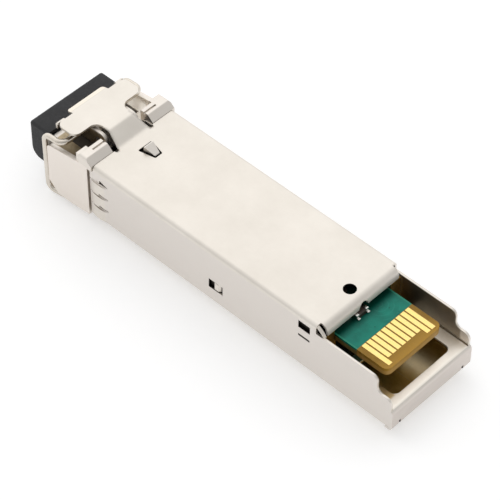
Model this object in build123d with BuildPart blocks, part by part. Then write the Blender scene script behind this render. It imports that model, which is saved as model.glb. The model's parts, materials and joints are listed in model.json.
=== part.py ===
from build123d import *
import os

os.makedirs("parts", exist_ok=True)

# Frame: X runs from the optical nose to the edge connector, Z points up to the latch side,
# and the origin lies in the resting face under the front edge of the latch window.

# Body envelope and folded sheet
body_width = 13.4
body_height = 8.4
sheet = 0.3
fold_radius = 0.55
rear_end = 45.0
sleeve_front = -2.4
top_plate_front = -1.85
sliding_gap = 0.05

# Open rear of the sleeve
lip_start = 33.5
lip_end = 34.6
lip_drop = 1.3
lip_inset = 0.8
skirt_drop = 1.2
skirt_step = 42.6
skirt_low_drop = 3.5
shoulder_height = 3.25
shoulder_front = 36.4
window_front = 37.6
window_rear = 43.6
window_inset = 2.0
window_radius = 0.8
frame_side_gap = 0.12
relief_width = 0.35
relief_length = 1.0
relief_inset = 1.4
notch_radius = 0.75
gauge_hole_diameter = 1.6
gauge_hole_x = 32.45

# Window of the latch boss
boss_window_front = 0.05
boss_window_rear = 2.42
boss_window_wide = 2.25
boss_window_narrow = 1.15
boss_window_radius = 0.15

# Tongue over the nose
tongue_rise = 1.25
ramp_end = -3.85
neck_root_width = 5.1
neck_width = 4.0
wing_rear = -5.95
wing_front = -9.0
wing_inset = 1.2
wing_front_radius = 0.8
wing_rear_radius = 1.0
wing_root_radius = 1.1
tongue_lip_front = -10.1
tongue_lip_width = 5.8
tongue_lip_drop = 0.35
tab_width = 1.1
tab_drop = 1.0
tab_inset = 0.2
tab_bend = 0.45
root_slot_width = 0.55
root_slot_depth = 0.35
corner_relief = 0.75

# Side wall features, heights from the resting face
snap_window_x = 18.1
snap_window_length = 2.2
snap_window_height = 1.4
snap_window_z = 2.95
bridge_slot_x = 31.75
bridge_slot_length = 1.75
bridge_slot_height = 1.15
bridge_slot_drop = 1.5
bridge_slit_drop = 3.25
slit = 0.16
finger_rear = 0.55
finger_bulge = 0.22
finger_top_drop = 1.95
finger_pitch = 2.0
finger_count = 3
finger_height = 1.7
floor_finger_pitch = 2.6
floor_finger_count = 4
slit_mouth = 0.5
slit_waist_x = -0.85

# Nose casting
nose_overhang = 0.2
nose_front = -10.2
cheek_front = -9.5
cheek_thickness = 0.7
nose_rear = -2.65
nose_floor = -0.35
nose_floor_rear = 0.0
floor_slope_start = -5.8
land_front = -5.3
land_drop = 0.8
land_inset = 1.3
roof_drop = 1.4
port_block_inset = 0.9
port_block_rear = -7.0
block_chamfer = 1.9
cheek_top_front_drop = 1.4
cheek_top_rear_drop = 0.45
cheek_chamfer = 1.5
shoulder_block_rise = 0.8
shoulder_block_inner = 3.3
shoulder_block_front = -4.0
shoulder_slope_top = -2.75
shoulder_block_radius = 0.35
groove_width = 0.25
groove_depth = 0.25
groove_setback = 0.7
groove_reach = 5.2
shoulder_end_front = -4.45
shoulder_end_drop = 0.15

# Walls of the lever channel
channel_half_width = 2.25
wall_outer = 2.7
wall_front = -8.7
wall_rear = -3.6
wall_rise = 0.7
wall_end_radius = 1.1
well_half_width = 3.2
well_drop = 1.8

# Ports and optics
port_pitch = 6.25
port_size = 4.7
port_floor_x = -3.2
optic_axis_z = 4.3
port_radius = 0.35
ferrule_bore = 1.27
ferrule_depth = 6.0
barrel_diameter = 2.9
barrel_tip = -7.5
barrel_flange_diameter = 5.2
barrel_flange_length = 1.2
barrel_body_diameter = 4.2
barrel_body_end = 3.2
can_diameter = 4.7
can_length = 2.6
header_diameter = 5.4
header_length = 1.2
lead_diameter = 0.4
lead_circle = 1.27
lead_length = 0.7
lead_count = 4
lead_sides = 6
lead_gap = 0.03
flex_gap = 0.2
flex_sheet = 0.15
flex_width = 3.6
flex_overlap = 1.3
flex_reach = 2.2
flex_bend = 0.6
clamp_top = 6.4
clamp_thickness = 0.8
clamp_gap = 0.02
latch_window_front = -8.6
latch_window_rear = -5.6
latch_window_outer = 4.5
bore_gap = 0.1

# Chassis behind the nose
rail_thickness = 1.0
rail_rear = 34.5
rail_end_front = 33.3
rail_rear_drop = 1.5
bay_front = -1.2
bay_floor = 1.1
floor_rear = 24.0
ledge_width = 0.9
ledge_depth = 1.0
ledge_front = 11.5
optics_pocket_gap = 0.12

# Printed circuit board
board_drop = 2.15
board_thickness = 1.0
board_front = 10.0
board_rear = 42.2
board_side_gap = 0.1
board_tab_width = 9.2
board_step_x = 33.2
board_corner = 0.8
contact_pitch = 0.8
contact_width = 0.6
contact_thickness = 0.05
contact_inner = 37.8
contact_short_end = 41.0
contact_long_end = 41.8
contacts_per_side = 10
long_contacts = (0, 8, 9)

# Chips on the board
lip_chip_x = 34.6
lip_chip_y = -0.5
lip_chip_length = 2.0
lip_chip_width = 1.25
lip_chip_height = 0.7
lip_chip_cap = 0.4
cap_overlap = 0.02
driver_x = 14.6
driver_y = 2.6
driver_size = 4.0
amplifier_size = 3.0
package_height = 0.85
package_chamfer = 0.08
controller_x = 22.0
controller_size = 5.0
memory_x = 27.5
memory_length = 3.0
memory_width = 2.2
memory_height = 0.8
chip_length = 1.0
chip_width = 0.5
chip_pitch = 1.6
chips_per_row = 5
capacitor_height = 0.5
resistor_height = 0.35
capacitor_rows_x = (18.0, 26.2)
resistor_rows_x = (14.5, 22.0)
inductor_x = 30.5
inductor_pitch = 2.6
inductor_count = 3
inductor_length = 2.0
inductor_width = 1.25
inductor_height = 0.9

# Latch lever, its pin and its spring
pivot_x = -5.0
pivot_drop = 0.6
pin_diameter = 0.8
pin_gap = 0.04
lever_width = 3.4
lever_thickness = 0.5
lever_top_gap = 0.15
lever_rear = 2.9
lever_front = -7.95
lever_knee_x = -6.0
lever_pad_gap = 0.08
lever_pad_thickness = 0.2
lever_hub_radius = 0.65
boss_height = 0.7
boss_gap = 0.24
boss_front = 0.65
boss_flat = 0.12
boss_rear = 2.2
spring_seat_drop = 2.35
spring_sheet = 0.15
spring_width = 2.2
spring_bend_x = -1.5
spring_tip_x = 2.3

# Bail
wire = 0.8
wire_sides = 12
bail_axle_x = -7.15
bail_axle_drop = 0.15
bail_elbow_x = -10.2
bail_elbow_drop = 0.4
bail_foot_x = -10.1
bail_bar_x = -6.5
bail_bar_gap = 0.1
bail_bar_inset = 0.5
bail_bend = 1.0
bail_foot_bend = 1.5
cam_throw = 0.22
cam_half_width = 1.0
cam_slope = 0.6
axle_gap = 0.05

# Dust plug
plug_side_gap = 0.05
plug_front = -13.5
plug_bottom = 1.9
plug_roof_rise = 0.5
plug_seat_gap = 0.05
plug_chin = 1.5
plug_edge = 0.35
prong_size = 4.4
prong_length = 4.5
prong_bore = 3.3
prong_bore_depth = 4.0

half_width = body_width / 2
inner_half_width = half_width - sheet
inner_top = body_height - sheet
chassis_half_width = inner_half_width - sliding_gap
chassis_top = inner_top - sliding_gap
chassis_bottom = sheet + sliding_gap
skirt_top = body_height - skirt_drop
skirt_low = body_height - skirt_low_drop
lip_half_width = half_width - lip_inset
window_half_width = half_width - window_inset
relief_side = half_width - relief_inset
tongue_top = body_height + tongue_rise
wing_span = body_width - 2 * wing_inset
nose_half_width = half_width + nose_overhang
cheek_inner = nose_half_width - cheek_thickness
port_block_half_width = nose_half_width - port_block_inset
nose_roof = body_height - roof_drop
cheek_top_front = body_height - cheek_top_front_drop
cheek_top_rear = body_height - cheek_top_rear_drop
shoulder_block_top = body_height + shoulder_block_rise
shoulder_end_width = nose_half_width - groove_reach - 0.1
shoulder_end_y = groove_reach + shoulder_end_width / 2
block_underside = body_height - corner_relief + sliding_gap
wall_top = body_height + wall_rise
rail_inner = chassis_half_width - rail_thickness
rail_top_rear = body_height - rail_rear_drop
board_top = body_height - board_drop
board_bottom = board_top - board_thickness
board_inner_width = 2 * (rail_inner - board_side_gap)
rail_end_inner = board_tab_width / 2 + board_side_gap
port_y = port_pitch / 2
boss_top = body_height + boss_height
lever_top = inner_top - lever_top_gap
pivot_z = body_height - pivot_drop
spring_seat_z = body_height - spring_seat_drop
bail_half_span = nose_half_width - wire / 2
bail_axle_z = body_height - bail_axle_drop
bail_elbow_z = body_height - bail_elbow_drop
bail_bar_z = nose_floor - bail_bar_gap - wire / 2
lever_pad_z = bail_axle_z + wire / 2 + lever_pad_gap
plug_width = 2 * (port_block_half_width - plug_side_gap)
plug_top = nose_roof + plug_roof_rise


# Tongue that reaches over the nose: ramp, neck, two wings and a dipped front lip
with BuildPart() as tongue:
    with BuildSketch(Plane.XZ.offset(-wing_span / 2)) as tongue_side:
        with BuildLine():
            Polyline(
                (top_plate_front + 1.0, inner_top),
                (top_plate_front, inner_top),
                (ramp_end, tongue_top - sheet),
                (wing_front, tongue_top - sheet),
                (tongue_lip_front, tongue_top - sheet - tongue_lip_drop),
                (tongue_lip_front, tongue_top - tongue_lip_drop),
                (wing_front, tongue_top),
                (ramp_end, tongue_top),
                (top_plate_front, body_height),
                (top_plate_front + 1.0, body_height),
                close=True,
            )
        make_face()
        ramp_corners = [v for v in tongue_side.vertices() if ramp_end - 0.1 < v.X < top_plate_front + 0.1]
        fillet(ramp_corners, radius=0.45)
    extrude(amount=wing_span)
    with BuildSketch(Plane.XY.offset(body_height - 2 * sheet)) as tongue_plan:
        with BuildLine():
            Polyline(
                (top_plate_front + 1.0, neck_root_width / 2),
                (top_plate_front, neck_root_width / 2),
                (ramp_end, neck_width / 2),
                (wing_rear, neck_width / 2),
                (wing_rear, wing_span / 2),
                (wing_front, wing_span / 2),
                (wing_front, tongue_lip_width / 2),
                (tongue_lip_front, tongue_lip_width / 2),
                (tongue_lip_front, -tongue_lip_width / 2),
                (wing_front, -tongue_lip_width / 2),
                (wing_front, -wing_span / 2),
                (wing_rear, -wing_span / 2),
                (wing_rear, -neck_width / 2),
                (ramp_end, -neck_width / 2),
                (top_plate_front, -neck_root_width / 2),
                (top_plate_front + 1.0, -neck_root_width / 2),
                close=True,
            )
        make_face()
        wing_ends = [v for v in tongue_plan.vertices() if abs(v.Y) > wing_span / 2 - 0.01]
        fillet([v for v in wing_ends if v.X > wing_rear - 0.01], radius=wing_rear_radius)
        wing_ends = [v for v in tongue_plan.vertices() if abs(v.Y) > wing_span / 2 - 0.01]
        fillet([v for v in wing_ends if v.X < wing_front + 0.01], radius=wing_front_radius)
        wing_roots = [v for v in tongue_plan.vertices() if abs(v.X - wing_rear) < 0.01]
        fillet([v for v in wing_roots if abs(v.Y) < neck_width / 2 + 0.01], radius=wing_root_radius)
        fillet(tongue_plan.vertices().group_by(Axis.X)[0], radius=0.4)
    extrude(amount=2.5, mode=Mode.INTERSECT)
    # A tab at the front of each wing is bent down over the bail
    for side in (-1, 1):
        tab_middle = side * (wing_span / 2 - tab_inset - tab_width / 2)
        with BuildSketch(Plane.XZ.offset(-tab_middle)):
            with Locations((wing_front, tongue_top - tab_bend)):
                Circle(tab_bend)
                Circle(tab_bend - sheet, mode=Mode.SUBTRACT)
            with Locations((wing_front - tab_bend / 2, tongue_top - tab_bend / 2)):
                Rectangle(tab_bend, tab_bend, mode=Mode.INTERSECT)
            with Locations((wing_front - tab_bend + sheet / 2, tongue_top - (tab_drop + tab_bend) / 2)):
                Rectangle(sheet, tab_drop - tab_bend)
        extrude(amount=tab_width / 2, both=True)


# Sleeve: one folded sheet with its tongue, open window at the rear and lanced fingers
with BuildPart() as sleeve:
    with BuildSketch(Plane.YZ.offset(sleeve_front)):
        with Locations((0, body_height / 2)):
            RectangleRounded(body_width, body_height, fold_radius)
            RectangleRounded(
                body_width - 2 * sheet, body_height - 2 * sheet, fold_radius - sheet, mode=Mode.SUBTRACT
            )
    extrude(amount=rear_end - sheet - sleeve_front)
    # The top plate starts behind the side walls, with a relief slot on each side of the tongue
    with BuildSketch(Plane.XY.offset(body_height - corner_relief)):
        with Locations(((sleeve_front + top_plate_front) / 2, 0)):
            Rectangle(top_plate_front - sleeve_front, body_width)
        with Locations((top_plate_front, (neck_root_width + root_slot_width) / 2)):
            SlotOverall(2 * root_slot_depth, root_slot_width)
        with Locations((top_plate_front, -(neck_root_width + root_slot_width) / 2)):
            SlotOverall(2 * root_slot_depth, root_slot_width)
    extrude(amount=corner_relief + 0.1, mode=Mode.SUBTRACT)
    # Side walls drop in an S from the lip down to the rear shoulder
    with BuildSketch(Plane.XZ.offset(-body_width)) as skirt_cut:
        with BuildLine():
            Polyline(
                (lip_start, body_height + 1.0),
                (lip_start, skirt_top),
                (skirt_step, skirt_top),
                (skirt_step, skirt_low),
                (rear_end - sheet, skirt_low),
                (rear_end - sheet, shoulder_height - sheet),
                (rear_end + 1.0, shoulder_height - sheet),
                (rear_end + 1.0, body_height + 1.0),
                close=True,
            )
        make_face()
        step_corners = [
            corner for corner in skirt_cut.vertices()
            if skirt_step - 0.1 < corner.X < rear_end and corner.Y > shoulder_height
        ]
        fillet(step_corners, radius=0.8)
    extrude(amount=2 * body_width, mode=Mode.SUBTRACT)
    # Rear lip curved down from the top plate, with a half round notch over the board
    with BuildSketch(Plane.XZ.offset(-lip_half_width)) as lip_side:
        with BuildLine():
            Polyline(
                (lip_start - 0.2, body_height),
                (lip_end, body_height),
                (lip_end, body_height - lip_drop),
                (lip_end - sheet, body_height - lip_drop),
                (lip_end - sheet, inner_top),
                (lip_start - 0.2, inner_top),
                close=True,
            )
        make_face()
        outer_lip = [v for v in lip_side.vertices() if v.X > lip_end - 0.01 and v.Y > inner_top + 0.1]
        fillet(outer_lip, radius=1.0)
        lip_inside = [v for v in lip_side.vertices() if abs(v.X - lip_end + sheet) < 0.01]
        inner_lip = [v for v in lip_inside if abs(v.Y - inner_top) < 0.01]
        fillet(inner_lip, radius=0.7)
    extrude(amount=2 * lip_half_width)
    with BuildSketch(Plane.YZ.offset(lip_start + 0.3)):
        with Locations((0, body_height - lip_drop)):
            Circle(notch_radius)
    extrude(amount=lip_end - lip_start, mode=Mode.SUBTRACT)
    # Rear wall folded up from the floor and then forward as a flat frame
    with BuildSketch(Plane.XZ.offset(-half_width)) as rear_wall:
        with BuildLine():
            Polyline(
                (rear_end - 1.0, 0),
                (rear_end, 0),
                (rear_end, shoulder_height),
                (rear_end - 1.0, shoulder_height),
                (rear_end - 1.0, shoulder_height - sheet),
                (rear_end - sheet, shoulder_height - sheet),
                (rear_end - sheet, sheet),
                (rear_end - 1.0, sheet),
                close=True,
            )
        make_face()
        fillet([v for v in rear_wall.vertices() if v.X > rear_end - 0.01], radius=fold_radius)
        inner_bends = [v for v in rear_wall.vertices() if abs(v.X - rear_end + sheet) < 0.01]
        fillet(inner_bends, radius=fold_radius - sheet)
    extrude(amount=body_width)
    with BuildSketch(Plane.XY.offset(shoulder_height - sheet)) as shoulder_frame:
        frame_half = inner_half_width - frame_side_gap
        with Locations(((shoulder_front + rear_end - 0.9) / 2, 0)):
            Rectangle(rear_end - 0.9 - shoulder_front, 2 * frame_half)
        with Locations(((window_front + window_rear) / 2, 0)):
            RectangleRounded(
                window_rear - window_front, 2 * window_half_width, window_radius, mode=Mode.SUBTRACT
            )
    extrude(amount=sheet)
    # Gap between the folded frame and each side wall, and the bend reliefs at the bottom corners
    for side in (-1, 1):
        gap_y = side * (inner_half_width - frame_side_gap / 2)
        with BuildSketch(Plane.XY.offset(sheet)):
            with Locations((rear_end - 1.0, gap_y)):
                Rectangle(2 * 0.7, frame_side_gap)
        extrude(amount=shoulder_height, mode=Mode.SUBTRACT)
        with BuildSketch(Plane.XY.offset(-0.1)):
            with Locations((rear_end, side * relief_side)):
                Rectangle(2 * relief_length, relief_width)
        extrude(amount=relief_length, mode=Mode.SUBTRACT)
    # Gauge hole and latch window in the top plate
    with BuildSketch(Plane.XY.offset(inner_top - 0.1)) as plate_holes:
        with Locations((gauge_hole_x, 0)):
            Circle(gauge_hole_diameter / 2)
        with BuildLine():
            Polyline(
                (boss_window_front, boss_window_wide / 2),
                (boss_window_rear, boss_window_narrow / 2),
                (boss_window_rear, -boss_window_narrow / 2),
                (boss_window_front, -boss_window_wide / 2),
                close=True,
            )
        make_face()
        window_corners = [v for v in plate_holes.vertices() if v.X < boss_window_rear + 0.1]
        fillet(window_corners, radius=boss_window_radius)
    extrude(amount=2 * sheet, mode=Mode.SUBTRACT)
    # Snap windows, bridge slots and slits through both side walls
    with BuildSketch(Plane.XZ.offset(-body_width)):
        with Locations((snap_window_x, snap_window_z)):
            Rectangle(snap_window_length, snap_window_height)
        with Locations((bridge_slot_x, body_height - bridge_slot_drop)):
            Rectangle(bridge_slot_length, bridge_slot_height)
        with Locations((bridge_slot_x, body_height - bridge_slit_drop)):
            Rectangle(bridge_slot_length, slit)
    extrude(amount=2 * body_width, mode=Mode.SUBTRACT)
    # Spring fingers lanced behind the front edge bow outwards between their slits
    for row in range(finger_count):
        level = body_height - finger_top_drop - row * finger_pitch
        with BuildSketch(Plane.XY.offset(level - slit_mouth / 2 - finger_height)):
            with BuildLine():
                finger_base = Line((sleeve_front, half_width - 0.05), (finger_rear, half_width - 0.05))
                ThreePointArc(
                    finger_base @ 0,
                    ((sleeve_front + finger_rear) / 2, half_width + finger_bulge),
                    finger_base @ 1,
                )
            make_face()
            mirror(about=Plane.XZ)
        extrude(amount=finger_height)
        with BuildSketch(Plane.XZ.offset(-body_width)):
            with BuildLine():
                Polyline(
                    (sleeve_front - 0.1, level - slit / 2),
                    (slit_waist_x, level - slit / 2),
                    (slit_waist_x + 0.1, level + slit_mouth - slit / 2),
                    (finger_rear, level),
                    (finger_rear, level - slit / 2),
                    (sleeve_front - 0.1, level - slit),
                    close=True,
                )
            make_face()
        extrude(amount=2 * body_width, mode=Mode.SUBTRACT)
    for row in range(floor_finger_count):
        finger_y = (row - (floor_finger_count - 1) / 2) * floor_finger_pitch
        with BuildSketch(Plane.XZ.offset(-finger_y - finger_height / 2)):
            with BuildLine():
                floor_base = Line((sleeve_front, 0.05), (finger_rear, 0.05))
                ThreePointArc(
                    floor_base @ 0, ((sleeve_front + finger_rear) / 2, -finger_bulge), floor_base @ 1
                )
            make_face()
        extrude(amount=finger_height)
    with BuildSketch(Plane.XY.offset(-finger_bulge - 0.1)):
        with GridLocations(1, floor_finger_pitch, 1, floor_finger_count + 1):
            with Locations(((sleeve_front + finger_rear) / 2, 0)):
                Rectangle(finger_rear - sleeve_front, slit)
    extrude(amount=finger_bulge + 0.1 + sheet + 0.02, mode=Mode.SUBTRACT)
    add(tongue.part)
sleeve.part.label = "sleeve"
export_step(sleeve.part, "parts/sleeve.step")


# Shoulder blocks beside the tongue, sloping down to the front edge of the sleeve
with BuildPart() as shoulder_pair:
    with BuildSketch(Plane.XZ.offset(-nose_half_width)) as block_side:
        with BuildLine():
            Polyline(
                (shoulder_block_front, cheek_top_rear - 1.0),
                (shoulder_block_front, shoulder_block_top),
                (shoulder_slope_top, shoulder_block_top),
                (top_plate_front - sliding_gap, body_height),
                (top_plate_front - sliding_gap, block_underside),
                (nose_rear, block_underside),
                (nose_rear, cheek_top_rear - 1.0),
                close=True,
            )
        make_face()
        fillet(block_side.vertices().group_by(Axis.Y)[-1], radius=0.15)
    extrude(amount=2 * nose_half_width)
    with BuildSketch(Plane.YZ.offset(shoulder_block_front)) as block_ends:
        with Locations((0, shoulder_block_top / 2)):
            Rectangle(2 * nose_half_width, shoulder_block_top)
            Rectangle(2 * shoulder_block_inner, 2 * shoulder_block_top, mode=Mode.SUBTRACT)
        outer_tops = [
            v for v in block_ends.vertices()
            if v.Y > shoulder_block_top - 0.01 and abs(v.X) > shoulder_block_inner + 0.1
        ]
        fillet(outer_tops, radius=shoulder_block_radius)
    extrude(amount=top_plate_front - shoulder_block_front, mode=Mode.INTERSECT)
    # The outer end of each block stands forward of its rib
    with BuildSketch(Plane.XY.offset(cheek_top_rear - 1.0)):
        for side in (-1, 1):
            with Locations(((shoulder_end_front + shoulder_block_front) / 2 + 0.1, side * shoulder_end_y)):
                Rectangle(shoulder_block_front - shoulder_end_front + 0.2, shoulder_end_width)
    extrude(amount=shoulder_block_top - shoulder_end_drop - cheek_top_rear + 1.0)
    with BuildSketch(Plane.XY.offset(shoulder_block_top - groove_depth)):
        with Locations((shoulder_block_front + groove_setback, 0)):
            Rectangle(groove_width, 2 * groove_reach)
    extrude(amount=groove_depth + 0.1, mode=Mode.SUBTRACT)


# Nose casting with the two optical ports, the cheeks and the tray that carries the board
with BuildPart() as nose_housing:
    with BuildSketch(Plane.XZ.offset(-nose_half_width)) as cheek_side:
        with BuildLine():
            Polyline(
                (cheek_front, nose_floor),
                (floor_slope_start, nose_floor),
                (nose_rear, nose_floor_rear),
                (nose_rear, cheek_top_rear),
                (cheek_front, cheek_top_front),
                close=True,
            )
        make_face()
        chamfer(
            [v for v in cheek_side.vertices() if v.X < cheek_front + 0.01 and v.Y < 0], length=cheek_chamfer
        )
        fillet(cheek_side.vertices().group_by(Axis.X)[0].sort_by(Axis.Y)[-1:], radius=0.6)
    extrude(amount=2 * nose_half_width)
    # Land behind the crossbar of the bail
    with BuildSketch(Plane.XZ.offset(-nose_half_width + land_inset)):
        with BuildLine():
            Polyline(
                (land_front, nose_floor + 0.1),
                (land_front, -land_drop),
                (nose_rear, nose_floor_rear),
                (nose_rear, nose_floor_rear + 0.5),
                close=True,
            )
        make_face()
    extrude(amount=2 * (nose_half_width - land_inset))
    # Port block between the cheeks
    with BuildSketch(Plane.XZ.offset(-port_block_half_width)) as port_block:
        with Locations(((nose_front + port_block_rear) / 2, (nose_floor + nose_roof) / 2)):
            Rectangle(port_block_rear - nose_front, nose_roof - nose_floor)
        chamfer(port_block.vertices().group_by(Axis.X)[0].sort_by(Axis.Y)[0], length=block_chamfer)
        fillet(port_block.vertices().group_by(Axis.X)[0].sort_by(Axis.Y)[-1], radius=0.2)
    extrude(amount=2 * port_block_half_width)
    # Tray inside the sleeve
    with BuildSketch(Plane.YZ.offset(nose_rear - 0.5)):
        with Locations((0, (chassis_top + chassis_bottom) / 2)):
            RectangleRounded(2 * chassis_half_width, chassis_top - chassis_bottom, fold_radius - sheet)
    extrude(amount=rail_rear - nose_rear + 0.5)
    # Lever channel along the middle and a pocket on each side of it
    with BuildSketch(Plane.XY.offset(nose_roof)):
        with Locations(((nose_front + lever_rear) / 2, 0)):
            Rectangle(lever_rear - nose_front + 0.8, 2 * channel_half_width)
        for side in (-1, 1):
            with Locations(((nose_front + shoulder_block_front) / 2, side * (wall_outer + cheek_inner) / 2)):
                Rectangle(shoulder_block_front - nose_front, cheek_inner - wall_outer)
    extrude(amount=5.0, mode=Mode.SUBTRACT)
    with BuildSketch(Plane.XY.offset(spring_seat_z)):
        with Locations(((port_floor_x + lever_rear) / 2, 0)):
            Rectangle(lever_rear - port_floor_x, spring_width + 0.3)
    extrude(amount=5.0, mode=Mode.SUBTRACT)
    # Well on each side of the tongue's root
    with BuildSketch(Plane.XY.offset(body_height - well_drop)):
        with Locations(((wall_rear + bay_front) / 2, 0)):
            Rectangle(bay_front - wall_rear, 2 * well_half_width)
    extrude(amount=5.0, mode=Mode.SUBTRACT)
    # Walls that hold the bail's axle and the lever pin
    for side in (-1, 1):
        with BuildSketch(Plane.XZ.offset(-side * (wall_outer + channel_half_width) / 2)) as wall_side:
            with Locations(((wall_front + wall_rear) / 2, (nose_roof - 0.1 + wall_top) / 2)):
                Rectangle(wall_rear - wall_front, wall_top - nose_roof + 0.1)
            fillet(wall_side.vertices().group_by(Axis.X)[-1].sort_by(Axis.Y)[-1], radius=wall_end_radius)
        extrude(amount=(wall_outer - channel_half_width) / 2, both=True)
    with BuildSketch(Plane.XZ.offset(-wall_outer)):
        with Locations((bail_axle_x, bail_axle_z)):
            Circle(wire / 2 + axle_gap)
        with Locations((bail_axle_x, (bail_axle_z + wall_top + 0.2) / 2)):
            Rectangle(wire + 2 * axle_gap, wall_top + 0.2 - bail_axle_z)
        with Locations((pivot_x, pivot_z)):
            Circle((pin_diameter + pin_gap) / 2)
    extrude(amount=2 * wall_outer, mode=Mode.SUBTRACT)
    # Optical ports, each with a latch window in its roof and a bore for the optic's barrel
    with BuildSketch(Plane.YZ.offset(nose_front - 0.1)):
        with Locations((-port_y, optic_axis_z), (port_y, optic_axis_z)):
            RectangleRounded(port_size, port_size, port_radius)
    extrude(amount=port_floor_x - nose_front + 0.1, mode=Mode.SUBTRACT)
    latch_window_x = (latch_window_front + latch_window_rear) / 2
    latch_window_y = (wall_outer + latch_window_outer) / 2
    with BuildSketch(Plane.XY.offset(optic_axis_z)):
        with Locations((latch_window_x, -latch_window_y), (latch_window_x, latch_window_y)):
            Rectangle(latch_window_rear - latch_window_front, latch_window_outer - wall_outer)
    extrude(amount=nose_roof - optic_axis_z + 0.1, mode=Mode.SUBTRACT)
    with BuildSketch(Plane.YZ.offset(port_floor_x - 0.1)):
        with Locations((-port_y, optic_axis_z), (port_y, optic_axis_z)):
            Circle(barrel_diameter / 2 + bore_gap)
    extrude(amount=bay_front - port_floor_x + 0.2, mode=Mode.SUBTRACT)
    # Open bay of the tray and round pockets for the optics
    with BuildSketch(Plane.XY.offset(bay_floor)):
        with Locations(((bay_front + rail_rear + 1.0) / 2, 0)):
            Rectangle(rail_rear + 1.0 - bay_front, 2 * rail_inner)
    extrude(amount=body_height, mode=Mode.SUBTRACT)
    with BuildSketch(Plane.YZ.offset(bay_front)):
        with Locations((-port_y, optic_axis_z), (port_y, optic_axis_z)):
            Circle(header_diameter / 2 + optics_pocket_gap)
    extrude(amount=board_front - bay_front, mode=Mode.SUBTRACT)
    with BuildSketch(Plane.XY):
        with Locations(((floor_rear + rail_rear + 1.0) / 2, 0)):
            Rectangle(rail_rear + 1.0 - floor_rear, 2 * rail_inner)
    extrude(amount=bay_floor + 0.1, mode=Mode.SUBTRACT)
    # Rear ends of the rails are lower, under the skirt of the sleeve
    with BuildSketch(Plane.XY.offset(rail_top_rear)):
        with Locations(((lip_start - 0.3 + rail_rear + 1.0) / 2, 0)):
            Rectangle(rail_rear + 1.3 - lip_start, body_width)
    extrude(amount=body_height, mode=Mode.SUBTRACT)
    add(shoulder_pair.part)
    # The rails close in behind the wide part of the board
    with BuildSketch(Plane.XY.offset(chassis_bottom)):
        for side in (-1, 1):
            with Locations(((rail_end_front + rail_rear) / 2, side * (rail_end_inner + rail_inner + 0.1) / 2)):
                Rectangle(rail_rear - rail_end_front, rail_inner + 0.1 - rail_end_inner)
    extrude(amount=rail_top_rear - chassis_bottom)
    # Ledges under the board and snap teeth in the side windows of the sleeve
    for side in (-1, 1):
        with BuildSketch(Plane.XY.offset(bay_floor - 0.1)):
            with Locations(((ledge_front + floor_rear) / 2, side * (rail_inner - ledge_width / 2 + 0.05))):
                Rectangle(floor_rear - ledge_front, ledge_width + 0.1)
        extrude(amount=board_bottom - bay_floor + 0.1)
        with BuildSketch(Plane.XY.offset(board_bottom - ledge_depth)):
            with Locations(((floor_rear + rail_rear) / 2, side * (rail_inner - ledge_width / 2 + 0.05))):
                Rectangle(rail_rear - floor_rear, ledge_width + 0.1)
        extrude(amount=ledge_depth)
        with BuildSketch(Plane.XY.offset(snap_window_z - snap_window_height / 2 + 0.15)):
            with BuildLine():
                Polyline(
                    (snap_window_x - 0.2, side * (chassis_half_width - 0.2)),
                    (snap_window_x - 0.2, side * (half_width - 0.05)),
                    (snap_window_x + 0.4, side * (half_width - 0.05)),
                    (snap_window_x + 0.95, side * (chassis_half_width - 0.2)),
                    close=True,
                )
            make_face()
        extrude(amount=snap_window_height - 0.3)
nose_housing.part.label = "nose_housing"
export_step(nose_housing.part, "parts/nose_housing.step")


# Bail: one bent wire whose axle is cranked in the middle
with BuildPart() as bail:
    with BuildLine() as bail_path:
        FilletPolyline(
            (bail_axle_x - cam_throw, 0, bail_axle_z),
            (bail_axle_x - cam_throw, cam_half_width, bail_axle_z),
            (bail_axle_x, cam_half_width + cam_slope, bail_axle_z),
            (bail_axle_x, bail_half_span, bail_axle_z),
            (bail_elbow_x, bail_half_span, bail_elbow_z),
            (bail_foot_x, bail_half_span, bail_bar_z),
            (bail_bar_x, bail_half_span - bail_bar_inset, bail_bar_z),
            (bail_bar_x, 0, bail_bar_z),
            radius=(bail_bend, bail_bend, bail_bend, bail_bend, bail_foot_bend, bail_bend),
        )
    with BuildSketch(Plane.XZ):
        with Locations((bail_axle_x - cam_throw, bail_axle_z)):
            RegularPolygon(wire / 2, wire_sides)
    sweep(path=bail_path.wires()[0])
    mirror(about=Plane.XZ)
bail.part.label = "bail"
export_step(bail.part, "parts/bail.step")


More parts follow.
